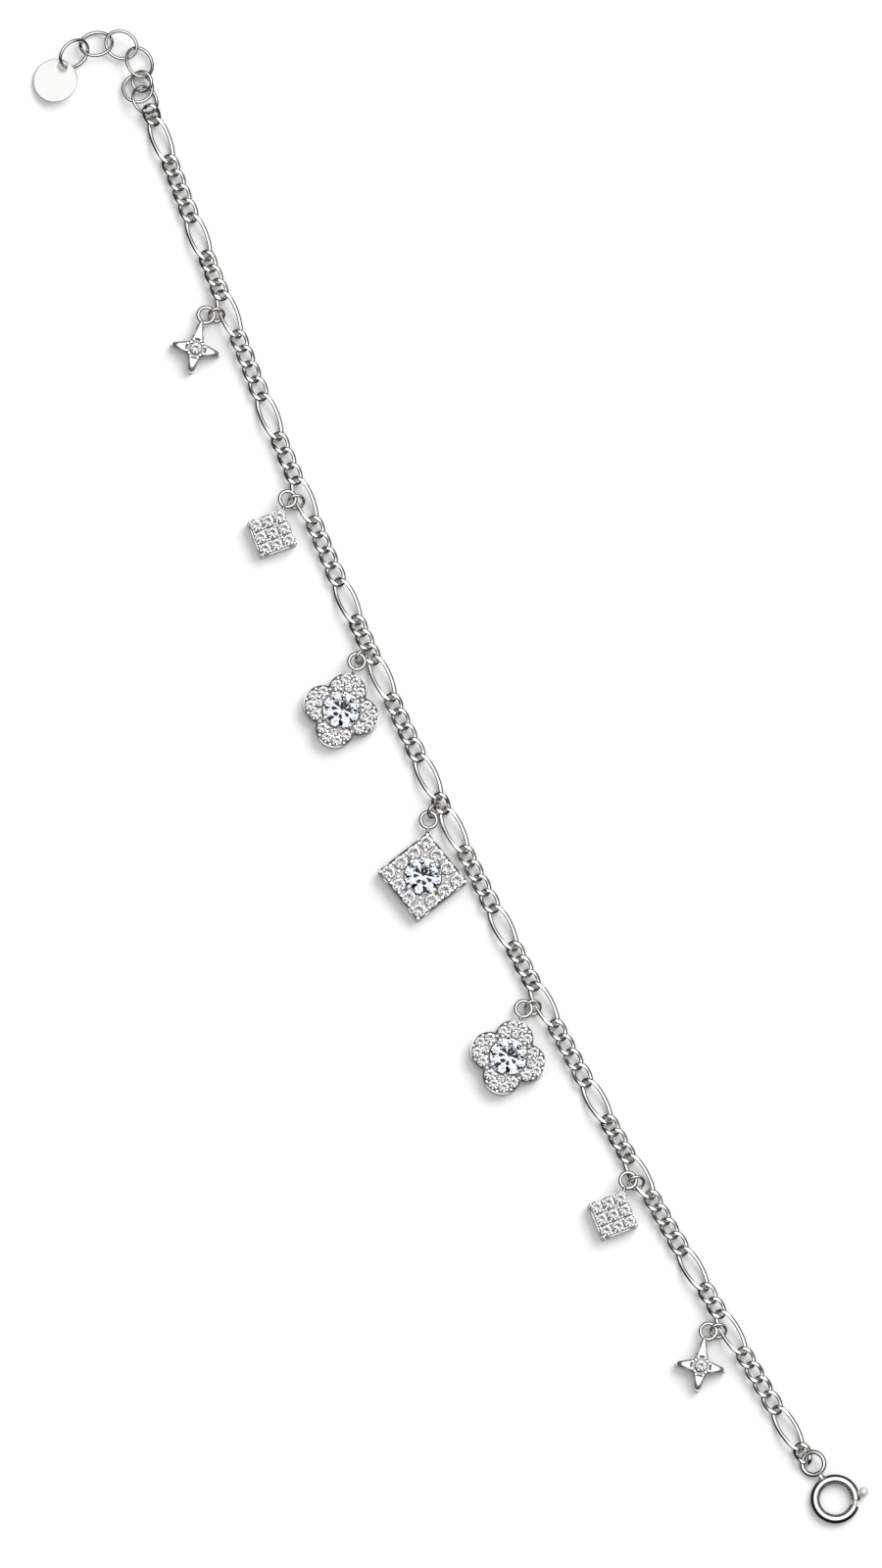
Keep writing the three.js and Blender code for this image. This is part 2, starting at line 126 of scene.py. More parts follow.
# Centre + a cos t along + b sin t across - twist sin 2t along the normal, for a whole turn of t.
def ovalLine(centre, along, across, a, b, twist, steps):
    t = (np.arange(steps) * fullTurn / steps)[:, None]
    normal = np.cross(along, across)
    return centre + along * a * np.cos(t) + across * b * np.sin(t) - normal * twist * np.sin(2 * t)


# Two square axes: a level direction with a rise along it, and the one across with its own rise.
def slopedAxes(direction, riseAlong, riseAcross):
    x, y = headed(direction)
    along = unit(np.array([x, y, riseAlong]))
    across = np.array([-y, x, riseAcross])
    return along, unit(across - along * across.dot(along))


# A profile of (radius, height) pairs turned round the vertical line through (x, y).
def turned(profile, x, y, sides):
    profile = np.asarray(profile, float)
    level = profile[:, None, :1] * roundSection(2, 2, sides) + np.array([x, y])
    height = np.broadcast_to(profile[:, None, 1:], level.shape[:2] + (1,))
    return ringShell(np.concatenate([level, height], -1), looped=False)


# One mesh object from several shells in millimetres, riding the named body. smoothBelow is the angle
# between faces that still shades smooth, 0 for flat facets, and the painted shade, if given, is one value for
# each point.
def makePiece(name, shells, material, body="anklet", smoothBelow=32, paintedShade=None):
    starts = np.cumsum([0] + [len(part) for part, _ in shells])
    points = np.concatenate([part for part, _ in shells]) * mm
    faces = [[i + start for i in face] for start, (_, group) in zip(starts, shells) for face in group]
    mesh = bpy.data.meshes.new(name)
    mesh.from_pydata(points.tolist(), [], faces)
    mesh.validate()
    if smoothBelow:
        mesh.shade_smooth()
        mesh.set_sharp_from_angle(angle=np.radians(smoothBelow))
    if paintedShade is not None:
        layer = mesh.attributes.new("paintedShade", "FLOAT", "POINT")
        layer.data.foreach_set("value", np.asarray(paintedShade, np.float32))
    mesh.materials.append(material)
    piece = bpy.data.objects.new(name, mesh)
    scene.collection.objects.link(piece)
    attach(piece, body)
    return piece


# A node with its settings and the constants on its sockets.
def addNode(tree, kind, sockets=None, **settings):
    node = tree.nodes.new(kind)
    for key, value in settings.items():
        setattr(node, key, value)
    for socket, value in (sockets or {}).items():
        node.inputs[socket].default_value = value
    return node


# Links, a row each: from a node, its output, to a node, its input.
def linkNodes(tree, rows):
    for source, output, target, socket in rows:
        tree.links.new(source.outputs[output], target.inputs[socket])


handling = {
    "cloudDetail": 3, "hairlineDetail": 4, "bloomFrom": 0.3, "bloomTo": 0.75, "bumpDistance": 0.00002,
}


# Handling marks on polished metal: soft clouding of the tone, fine hairlines and a rougher bloom.
def buildHandlingMarks():
    group = bpy.data.node_groups.new("handlingMarks", "ShaderNodeTree")
    sockets = {
        "INPUT": {
            "Tone": "NodeSocketColor", "Shade": "NodeSocketColor", "Patch Size": "NodeSocketFloat",
            "Hairline Size": "NodeSocketFloat", "Smoothest": "NodeSocketFloat", "Roughest": "NodeSocketFloat",
        },
        "OUTPUT": {"Color": "NodeSocketColor", "Roughness": "NodeSocketFloat", "Height": "NodeSocketFloat"},
    }
    for way, kinds in sockets.items():
        for name, kind in kinds.items():
            group.interface.new_socket(name=name, in_out=way, socket_type=kind)
    given = addNode(group, "NodeGroupInput")
    result = addNode(group, "NodeGroupOutput")
    place = addNode(group, "ShaderNodeTexCoord")
    clouds = addNode(group, "ShaderNodeTexNoise", {"Detail": handling["cloudDetail"]})
    hairs = addNode(group, "ShaderNodeTexNoise", {"Detail": handling["hairlineDetail"]})
    tone = addNode(group, "ShaderNodeMix", data_type="RGBA")
    bloomSpan = {"From Min": handling["bloomFrom"], "From Max": handling["bloomTo"]}
    bloom = addNode(group, "ShaderNodeMapRange", bloomSpan)
    linkNodes(group, [
        (place, "Object", clouds, "Vector"),
        (place, "Object", hairs, "Vector"),
        (given, "Patch Size", clouds, "Scale"),
        (given, "Hairline Size", hairs, "Scale"),
        (clouds, "Fac", tone, "Factor"),
        (given, "Tone", tone, "A"),
        (given, "Shade", tone, "B"),
        (clouds, "Fac", bloom, "Value"),
        (given, "Smoothest", bloom, "To Min"),
        (given, "Roughest", bloom, "To Max"),
        (tone, "Result", result, "Color"),
        (bloom, "Result", result, "Roughness"),
        (hairs, "Fac", result, "Height"),
    ])
    return group


handlingMarks = buildHandlingMarks()


# Fine relief on a finish, as strong as given: height to normal.
def addBump(tree, strength):
    return addNode(tree, "ShaderNodeBump", {"Strength": strength, "Distance": handling["bumpDistance"]})


# A new material, with its nodes and its shader.
def newMaterial(name):
    material = bpy.data.materials.new(name)
    material.use_nodes = True
    return material, material.node_tree, material.node_tree.nodes["Principled BSDF"]


# Polished silver. On cast pieces a point attribute of painted shade, from 0 on top to 1 in the cuts, darkens
# it.
def makeSilver(name, look):
    material, tree, shader = newMaterial(name)
    marks = addNode(tree, "ShaderNodeGroup", {
        "Tone": (*look["tone"], 1), "Shade": (*look["shade"], 1),
        "Patch Size": look["patchSize"], "Hairline Size": look["hairlineSize"],
        "Smoothest": look["smoothest"], "Roughest": look["roughest"],
    }, node_tree=handlingMarks)
    bump = addBump(tree, look["bump"])
    linkNodes(tree, [
        (marks, "Height", bump, "Height"),
        (bump, "Normal", shader, "Normal"),
        (marks, "Roughness", shader, "Roughness"),
    ])
    # Painted shade: the attribute mixes the colour toward a dark tone in the sunk web and round the stones.
    if "paintedShade" in look:
        paintedShade = addNode(tree, "ShaderNodeAttribute", attribute_name="paintedShade")
        darken = addNode(tree, "ShaderNodeMix", {"B": (*look["paintedShade"], 1)}, data_type="RGBA")
        linkNodes(tree, [
            (paintedShade, "Fac", darken, "Factor"),
            (marks, "Color", darken, "A"),
            (darken, "Result", shader, "Base Color"),
        ])
    else:
        linkNodes(tree, [(marks, "Color", shader, "Base Color")])
    shader.inputs["Metallic"].default_value = look["metal"]
    return material


# Satin metal: short hairlines that run one way, from noise stretched along the brushing.
def makeSatin(name, look):
    material, tree, shader = newMaterial(name)
    place = addNode(tree, "ShaderNodeTexCoord")
    turn = addNode(tree, "ShaderNodeMapping", {
        "Rotation": (0, 0, np.radians(look["direction"])),
        "Scale": (look["along"], look["across"], look["along"]),
    })
    lines = addNode(tree, "ShaderNodeTexNoise", {"Scale": 1, "Detail": look["detail"]})
    tones = {"A": (*look["shade"], 1), "B": (*look["tone"], 1)}
    tone = addNode(tree, "ShaderNodeMix", tones, data_type="RGBA")
    rough = addNode(tree, "ShaderNodeMapRange", {"To Min": look["smoothest"], "To Max": look["roughest"]})
    bump = addBump(tree, look["bump"])
    linkNodes(tree, [
        (place, "Object", turn, "Vector"),
        (turn, "Vector", lines, "Vector"),
        (lines, "Fac", tone, "Factor"),
        (lines, "Fac", rough, "Value"),
        (lines, "Fac", bump, "Height"),
        (tone, "Result", shader, "Base Color"),
        (rough, "Result", shader, "Roughness"),
        (bump, "Normal", shader, "Normal"),
    ])
    shader.inputs["Metallic"].default_value = look["metal"]
    return material


# Clear cut stone: tinted a little by soft clouds, with sharp flat facets.
def makeStone(name, look):
    material, tree, shader = newMaterial(name)
    place = addNode(tree, "ShaderNodeTexCoord")
    clouds = addNode(tree, "ShaderNodeTexNoise", {"Scale": look["cloudSize"]})
    tones = {"A": (*look["tone"], 1), "B": (*look["shade"], 1)}
    tone = addNode(tree, "ShaderNodeMix", tones, data_type="RGBA")
    linkNodes(tree, [
        (place, "Object", clouds, "Vector"),
        (clouds, "Fac", tone, "Factor"),
        (tone, "Result", shader, "Base Color"),
    ])
    shader.inputs["Roughness"].default_value = 0
    shader.inputs["IOR"].default_value = look["index"]
    shader.inputs["Specular Tint"].default_value = (*look["sheen"], 1)
    shader.inputs["Transmission Weight"].default_value = 1
    return material


wireSilver = makeSilver("wireSilver", {
    "tone": (0.97, 0.95, 0.92), "shade": (0.87, 0.85, 0.82), "patchSize": 350, "hairlineSize": 4000,
    "smoothest": 0.05, "roughest": 0.14, "bump": 0.12, "metal": 1,
})
# Cast silver, with a dark tone for the painted shade in the sunk web and round the stones.
castSilver = makeSilver("castSilver", {
    "tone": (0.78, 0.765, 0.745), "shade": (0.66, 0.645, 0.63), "paintedShade": (0.14, 0.135, 0.13),
    "patchSize": 600, "hairlineSize": 5000, "smoothest": 0.1, "roughest": 0.24, "bump": 0.2, "metal": 0.85,
})
grainSilver = makeSilver("grainSilver", {
    "tone": (0.97, 0.95, 0.93), "shade": (0.9, 0.88, 0.86), "patchSize": 900, "hairlineSize": 6000,
    "smoothest": 0.04, "roughest": 0.1, "bump": 0.06, "metal": 1,
})
claspSilver = makeSilver("claspSilver", {
    "tone": (0.96, 0.94, 0.91), "shade": (0.88, 0.86, 0.83), "patchSize": 200, "hairlineSize": 2500,
    "smoothest": 0.06, "roughest": 0.16, "bump": 0.1, "metal": 1,
})
ringSilver = makeSilver("ringSilver", {
    "tone": (0.97, 0.95, 0.92), "shade": (0.9, 0.88, 0.85), "patchSize": 500, "hairlineSize": 4000,
    "smoothest": 0.2, "roughest": 0.3, "bump": 0.1, "metal": 1,
})
triggerSilver = makeSilver("triggerSilver", {
    "tone": (0.97, 0.96, 0.94), "shade": (0.9, 0.89, 0.87), "patchSize": 500, "hairlineSize": 3500,
    "smoothest": 0.35, "roughest": 0.5, "bump": 0.12, "metal": 0.5,
})
tagSatin = makeSatin("tagSatin", {
    "tone": (0.98, 0.97, 0.955), "shade": (0.92, 0.91, 0.895), "direction": 35, "along": 150, "across": 6000,
    "detail": 5, "smoothest": 0.05, "roughest": 0.1, "bump": 0.1, "metal": 0.6,
})
clearStone = makeStone("clearStone", {
    "tone": (1, 1, 1), "shade": (0.95, 0.97, 1), "cloudSize": 400, "index": 2.2, "sheen": (0.15, 0.15, 0.16),
})
paveStone = makeStone("paveStone", {
    "tone": (1, 0.955, 0.915), "shade": (0.88, 0.84, 0.8), "cloudSize": 1500, "index": 2.0,
    "sheen": (0.6, 0.6, 0.62),
})
print("finishes ready")

# The figaro chain. Everything is in millimetres until makePiece. A span is written as from and to, with
# the number of steps after them where there is one.
route = {"span": 215, "sag": 6, "restHeight": 0.78, "liftFlat": 3.5, "liftReach": 11.8}
longLink = {
    "halfLength": 3.52, "halfWidth": 1.2, "wire": 0.56, "squareness": 0.55, "twist": 0.42, "ground": 0.64,
    "steps": 64, "sides": 16,
}
shortLink = {
    "halfLength": 1.47, "halfWidth": 1.0, "wire": 0.54, "squareness": 0.55, "twist": 0.29, "ground": 0.5,
    "steps": 40, "sides": 14,
}
wideLink = {"run": 4, "length": 0.2, "width": 0.06, "pitch": 0.2}  # a run of four ends in a larger link
pitch = {"longToShort": 4, "shortToShort": 2.3}
loneTwist = 0.38  # of a short link on its own between two long ones

# Long links: the short links before each one, and its x along the chain.
stations = [
    (0, 4.45), (4, 19.2), (3, 31.1), (4, 46.7), (3, 59.7), (4, 75.35), (3, 87.3), (4, 102.75),
    (1, 111.25), (4, 126.65), (3, 139.05), (4, 154.65), (3, 166.8), (4, 181.85), (2, 192.35), (4, 208),
]

# Single short links at the two ends: x, height, twist, roll and pitch slopes.
endLinks = {
    "short_links_01": (0.6, 0.972, 0.442, -0.044, -0.118),
    "short_links_17": (212.1, 0.724, 0.367, -0.151, 0.009),
}

# Charms: shape, x and lift of the link that carries it, bail and jump ring centres from the chain's
# line there, azimuth and tilt of the jump ring's axis, and the way the bail points from the middle.
charms = {
    "star_1": ("star", 31.1, 0.32, (-1.29, -2.96, 1.01), (-0.69, -1.65, 0.955), 338.6, 42, 142.3),
    "square_1": ("square", 59.7, 0.2, (-1.15, -2.1, 1.42), (-0.29, -1.18, 1.25), 340, 40.7, 130.5),
    "clover_1": ("clover", 83.5, 0.21, (0.21, -2.35, 1.56), (-0.12, -1.37, 1.27), 17, 54.5, 136.5),
    "diamond": ("diamond", 107, 0.1, (1.36, -2.61, 1.05), (0.475, -1.37, 1.127), 25.9, 57.5, 148),
    "clover_2": ("clover", 139.05, 0.13, (-0.73, -2.85, 0.9), (-0.32, -1.62, 0.895), 342.5, 35.8, 136.5),
    "square_2": ("square", 166.8, 0.02, (-0.11, -1.76, 1.55), (0.67, -0.88, 1.35), 341.8, 42.1, 131),
    "star_2": ("star", 192.35, 0.35, (-1.55, -2.8, 1.07), (-1.03, -1.52, 1.04), 339.4, 38.8, 146.5),
}


# The chain's line before the whole is centred: x, a sine sag, and the height where charms lift it.
def routePoint(x):
    y = -route["sag"] * np.sin(np.pi * np.clip(x, 0, route["span"]) / route["span"])
    lifts = [
        lift * (1 - smoothStep(abs(x - at), route["liftFlat"], route["liftReach"]))
        for _, at, lift, *_ in charms.values()
    ]
    return np.array([x, y, route["restHeight"] + max(lifts)])


# What the whole in model.glb was moved by, to centre it: the first long link's middle less its own place.
low, high = (np.array(corner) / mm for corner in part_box("long_link_01"))
centring = (low + high) / 2 - routePoint(stations[0][1])
centring[2] = 0


# The chain's direction at x, between two points close by, and the level direction across it.
def chainAxes(x, near=0.01):
    ahead = unit(routePoint(x + near) - routePoint(x - near))
    return ahead, unit(np.cross(zAxis, ahead))


# A curb link: round wire along a twisted oval, with what stands beyond the grinding height on both
# faces brought down flat.
def curbLink(centre, along, across, link, halfLength, halfWidth, twist):
    line = ovalLine(centre, along, across, halfLength, halfWidth, twist, link["steps"])
    normal = np.cross(along, across)
    points = wireAlong(line, curbSection(link["wire"], link["sides"], link["squareness"]), normal)
    height = (points - centre) @ normal
    ground = link["ground"] + max(0, twist - link["twist"])
    beyond = height - np.clip(height, -ground, ground)
    return ringShell(points - beyond[..., None] * normal)


# A long link in line with the chain at x.
def longCurb(x):
    size = longLink["halfLength"], longLink["halfWidth"], longLink["twist"]
    return curbLink(routePoint(x) + centring, *chainAxes(x), longLink, *size)


# A short link in line with the chain at x, with the wide link's extra length and width if it is one.
def shortCurb(x, wide, twist):
    halfLength = shortLink["halfLength"] + wide * wideLink["length"]
    halfWidth = shortLink["halfWidth"] + wide * wideLink["width"]
    return curbLink(routePoint(x) + centring, *chainAxes(x), shortLink, halfLength, halfWidth, twist)


# The short links from one long link's x to the next one's, at their usual steps stretched to fit.
def shortRun(before, count, x):
    wideEnd = count == wideLink["run"]
    usual = 2 * pitch["longToShort"] + (count - 1) * pitch["shortToShort"]
    stretch = (x - before) / (usual + (2 * wideLink["pitch"] if wideEnd else 0))
    twist = loneTwist if count == 1 else shortLink["twist"]
    run = []
    for i in range(count):
        wide = wideEnd and i == count - 1
        step = pitch["longToShort"] + i * pitch["shortToShort"] + (wideLink["pitch"] if wide else 0)
        run.append(shortCurb(before + step * stretch, wide, twist))
    return run


for number, (count, x) in enumerate(stations, 1):
    label = f"{number:02d}"
    piece = makePiece(f"longCurb_{label}", [longCurb(x)], wireSilver)
    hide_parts(f"long_link_{label}")
    if count:
        piece = makePiece(f"shortCurbs_{label}", shortRun(stations[number - 2][1], count, x), wireSilver)
        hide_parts(f"short_links_{label}")
for node, (x, height, twist, roll, rise) in endLinks.items():
    along, across = slopedAxes(0, rise, roll)
    centre = routePoint(x) + centring
    centre[2] = height
    size = shortLink["halfLength"], shortLink["halfWidth"], twist
    link = curbLink(centre, along, across, shortLink, *size)
    piece = makePiece(node.replace("short_links", "shortCurbs"), [link], wireSilver)
    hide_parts(node)
print("chain linked")

# The jump rings, and the extender with its disc tag.
jumpRing = {"radius": 1.05, "wire": 0.46, "steps": 36, "sides": 12}
extenderWire = {"wire": 0.46, "steps": 48, "sides": 12}

# Extender rings: centre, half-lengths along and across, direction, rise along and across.
extenderRings = {
    "extender_ring_1": (-11.95, -6.25, 1.34, 2.25, 1.85, -75, -0.01, -0.72),
    "extender_ring_2": (-11.94, -2.75, 1.05, 2.25, 1.85, -105, -0.05, 0.35),
    "extender_ring_3": (-10.28, 0.35, 1.38, 2.25, 1.9, 41, 0.03, 0.36),
    "extender_ring_4": (-6.93, 1.61, 1.25, 2.25, 1.85, -8, 0.12, -0.31),
    "extender_ring_5": (-4.28, 0.71, 1.35, 1.42, 1.42, 0, -0.1, 0.56),
    "end_ring": (-1.74, -0.02, 1.2, 2, 1.95, 0, -0.04, -0.56),
    "spare_ring": (-3.7, -0.16, 0.85, 2.05, 2.05, 0, 0.2, 0.03),
}
tag = {
    "radius": 3.2, "thickness": 0.42, "hole": 0.7, "holeDistance": 2.3, "edge": 0.16, "columns": 96,
    "faceRows": (0.12, 0.92, 8), "place": (-9.65, -10.3, 1.06), "direction": 127.8, "riseAlong": 0.03,
    "riseAcross": -0.27,
}


# Round wire along a plain oval: the oval line with no twist.
def wireRing(centre, along, across, a, b, look):
    line = ovalLine(centre, along, across, a, b, 0, look["steps"])
    section = roundSection(look["wire"], look["wire"], look["sides"])
    return ringShell(wireAlong(line, section, np.cross(along, across)))


for node, (x, y, z, a, b, direction, riseAlong, riseAcross) in extenderRings.items():
    along, across = slopedAxes(direction, riseAlong, riseAcross)
    ring = wireRing(np.array([x, y, z]) + centring, along, across, a, b, extenderWire)
    piece = makePiece(node.replace("_ring", "Loop"), [ring], wireSilver)
    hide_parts(node)


# The disc: rings of points between its hole and its rim, each part-way from the hole's circle to the
# rim's, up one face, over the rounded rim, down the other face and back through the hole.
def tagDisc():
    turn = np.linspace(0, 360, tag["columns"], endpoint=False)
    rim = headed(turn) * tag["radius"]
    hole = headed(turn) * tag["hole"] + np.array([tag["holeDistance"], 0])
    half, soft = tag["thickness"] / 2, tag["edge"]
    curve = np.radians([90, 60, 30, 0])
    outer = [(1, -soft + soft * np.cos(a), half - soft + soft * np.sin(a)) for a in curve]
    inner = [(0, soft - soft * np.cos(a), half - soft + soft * np.sin(a)) for a in curve]
    rows = inner[::-1] + [(part, 0, half) for part in np.linspace(*tag["faceRows"])] + outer
    under = [(part, shift, -z) for part, shift, z in rows[::-1]]
    rings = [
        atHeight(hole * (1 - part) + rim * part + headed(turn) * shift, z) for part, shift, z in under + rows
    ]
    along, across = slopedAxes(tag["direction"], tag["riseAlong"], tag["riseAcross"])
    axes = np.stack([along, across, np.cross(along, across)])
    return ringShell(np.stack(rings)[::-1] @ axes + np.array(tag["place"]) + centring)


tagPiece = makePiece("tagDisc", [tagDisc()], tagSatin)
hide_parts("tag")
print("extender and tag ready")

# The charms. Each shape is drawn round its own middle, with its bail along x.
plate = {
    "top": 1.9, "wallRows": (0.6, 1.2), "footInset": 0.02, "footRise": 0.06, "pocket": 1.2, "middle": 0.02,
    "rings": 30, "ringsToHole": 26, "firstRing": 0.004, "crowding": 0.9, "crownReach": 1.1,
    "web": (0.1, 0.24), "webDepth": 0.3, "webShade": 0.6, "sunkEdge": 0.2, "cupRim": 0.02, "cupDepth": 0.75,
}
bail = {
    "radius": 1.13, "wire": 0.54, "steps": 36, "sides": 12, "neckReach": (-1.1, 0.1, 7),
    "neckSwell": (1.4, 1, 1.3),
}
star = {
    "longArm": 4.3, "arm": 3.55, "waist": 1.4, "tip": 0.3, "tipFall": 0.75, "tipFrom": 2.5, "crown": 0.55,
    "sunk": 1.5, "stone": 0.75, "grains": ((1.12, 0), (1.32, 22), (1.32, -22)),
    "bailAt": 5.2, "swing": -5, "neck": 0, "hole": 0,
}
square = {
    "side": 5.5, "corner": 0.3, "crown": 0.1, "count": 3, "pitch": 1.78, "stone": 0.8,
    "grain": 0.17, "grainSpread": 0.19, "grainInset": 0.36,
    "bailAt": 5.45, "swing": 0, "neck": 0.5, "hole": 0,
}
clover = {
    "lobe": 2.75, "lobeOffset": 1.9, "crown": 0.12, "stone": 0.72, "stoneAt": 1.85,
    "angles": (-72, -24, 24, 72), "innerAt": 3.3, "innerStone": 0.52, "grainAngles": (-98, -48, 0, 48, 98),
    "grainAt": 2.42, "innerGrainAt": 1.2, "nookGrains": ((18, 3.02, 1.1), (32, 3.05, 1)),
    "bailAt": 7.42, "swing": 0, "neck": 0.42, "hole": 2.75,
}
diamond = {
    "side": 9.08, "corner": 0.35, "crown": 0.12, "count": 4, "pitch": 2.3, "stone": 0.92,
    "grain": 0.27, "grainSpread": 0.28, "grainInset": 0.5,
    "bailAt": 8.3, "swing": 0, "neck": 0.42, "hole": 2.75,
}
cornerGrain = {"inset": 0.3, "pushOut": 1.06}
grain = {
    "radius": 0.22, "height": 0.26, "sides": 10, "foot": 0.2, "skirt": 1.05,
    "dome": ((1, 0.5), (0.86, 0.16), (0.5, 0.03)),
}
seat = {"gap": 0.02, "depth": 0.06, "wire": 0.16, "steps": 20, "sides": 6}
claw = {
    "radius": 0.34, "at": 2.92, "foot": 0.9, "top": 2.85, "lean": 0.38, "leanRows": (0.3, 0.9), "sides": 12,
    "rows": (0, 0.3, 0.45, 0.6, 0.7, 0.8, 0.9, 0.97, 1), "swell": (1, 1, 1, 1, 1, 1, 1, 0.88, 0.6),
}
largeCut = {
    "radius": 2.6, "table": 0.56, "star": 0.76, "culet": 0.08, "girdle": 2.22, "girdleHeight": 0.1,
    "top": 3.08, "lowerHalf": 0.24, "turn": 12,
}
smallCut = {
    "table": 0.48, "star": 0.72, "depth": 0.86, "rise": 0.03, "girdleHeight": 0.04, "crownHeight": 0.24,
    "lowerHalf": 0.3, "turn": 17,
}
outlineSteps = {"corner": 7, "side": 25, "tip": 9, "tipSweep": 80, "arm": 15, "lobe": 37}
eighthTurn = np.array([[1, 1], [-1, 1]]) / np.sqrt(2)


# A square with rounded corners, standing on one corner: four quarter arcs round the corners' centres.
def squareOutline(look):
    reach = look["side"] / 2 - look["corner"]
    quarter = np.linspace(0, 90, outlineSteps["corner"])
    edge = np.linspace(0, 1, outlineSteps["side"])[1:-1, None]
    corners = [
        headed(90 * i) * reach * np.sqrt(2) + headed(90 * i - 45 + quarter) * look["corner"] for i in range(4)
    ]
    parts = []
    for i in range(4):
        start, end = corners[i][-1], corners[(i + 1) % 4][0]
        parts += [corners[i], start + (end - start) * edge]
    return np.concatenate(parts)


# Four arms: straight sides from the waist to a rounded tip, which is an arc round the arm's end.
def starOutline(look):
    sweep = np.linspace(-outlineSteps["tipSweep"], outlineSteps["tipSweep"], outlineSteps["tip"])
    edge = np.linspace(0, 1, outlineSteps["arm"])[:-1, None]
    parts = []
    for i in range(4):
        reach = look["longArm"] if i == 0 else look["arm"]
        start, end = headed(np.array([90 * i - 45, 90 * i + 45])) * look["waist"]
        tip = headed(90 * i) * (reach - look["tip"]) + headed(90 * i + sweep) * look["tip"]
        parts += [start + (tip[0] - start) * edge, tip, tip[-1] + (end - tip[-1]) * edge[1:]]
    return np.concatenate(parts)


# Four overlapping circles: the arc of each that is outside its neighbours, which it meets on the diagonal.
def cloverOutline(look):
    notch = np.sqrt(look["lobe"] ** 2 - look["lobeOffset"] ** 2)
    half = np.degrees(np.arctan2(notch, -look["lobeOffset"])) - 45
    sweep = np.linspace(-half, half, outlineSteps["lobe"])[:-1]
    middle = look["lobeOffset"] * np.sqrt(2)
    return np.concatenate([headed(90 * i) * middle + headed(90 * i + sweep) * look["lobe"] for i in range(4)])


# Stones on a square grid turned by an eighth: rows of x, y and radius. With a hole, only its border has them.
def squareStones(look):
    steps = range(look["count"])
    last = look["count"] - 1
    return [
        (*(np.array([i - last / 2, j - last / 2]) * look["pitch"] @ eighthTurn), look["stone"])
        for i in steps for j in steps if not look["hole"] or i in (0, last) or j in (0, last)
    ]


# Grains in pairs or fours where stones meet, and one in each corner.
def squareGrains(look):
    count = look["count"]
    edges = (np.arange(count + 1) - count / 2) * look["pitch"]
    spread, push = look["grainSpread"], cornerGrain["pushOut"]
    corner, nook = look["side"] / 2 - cornerGrain["inset"], look["side"] / 2 - look["grainInset"]
    places = []
    for i, a in enumerate(edges):
        for j, b in enumerate(edges):
            outerA, outerB = i in (0, count), j in (0, count)
            if outerA and outerB:
                places += [(np.sign(a) * corner, np.sign(b) * corner)]
            elif outerA:
                places += [(np.sign(a) * nook, b + spread), (np.sign(a) * nook, b - spread)]
            elif outerB:
                places += [(a + spread, np.sign(b) * nook), (a - spread, np.sign(b) * nook)]
            elif not look["hole"]:
                places += [(a + p * spread, b + q * spread) for p in (-1, 1) for q in (-1, 1)]
            elif i in (1, count - 1) or j in (1, count - 1):
                places += [(a * push + p * spread, b * push + q * spread) for p, q in ((1, -1), (-1, 1))]
    return [(*(np.array(place) @ eighthTurn), look["grain"]) for place in places]


# Stones in an arc on each lobe and one inside it, and grains between them and in the nooks between lobes.
def cloverStones(look):
    stones, grains = [], []
    for way in 90 * np.arange(4):
        lobe = headed(way) * look["lobeOffset"] * np.sqrt(2)
        stones.append((*(headed(way) * look["innerAt"]), look["innerStone"]))
        for angle in look["angles"]:
            stones.append((*(lobe + headed(way + angle) * look["stoneAt"]), look["stone"]))
        for angle in look["grainAngles"]:
            grains.append((*(lobe + headed(way + angle) * look["grainAt"]), grain["radius"]))
            if abs(angle) < 90:
                grains.append((*(lobe + headed(way + angle) * look["innerGrainAt"]), grain["radius"]))
        for angle, distance, swell in look["nookGrains"]:
            for turn in (-angle, angle):
                grains.append((*(headed(way + turn) * distance), grain["radius"] * swell))
    return stones, grains


# One stone in the middle, with three grains at the foot of each arm's side.
def starStones(look):
    grains = [
        (*(headed(90 * i + 45 + turn) * distance), grain["radius"])
        for i in range(4) for distance, turn in look["grains"]
    ]
    return [(0, 0, look["stone"])], grains


# Least distance from each point to an outline.
def edgeDistance(level, outline):
    flat = level.reshape(-1, 2)
    gaps = np.linalg.norm(flat[:, None] - outline[None], axis=-1)
    return gaps.min(1).reshape(level.shape[:-1])
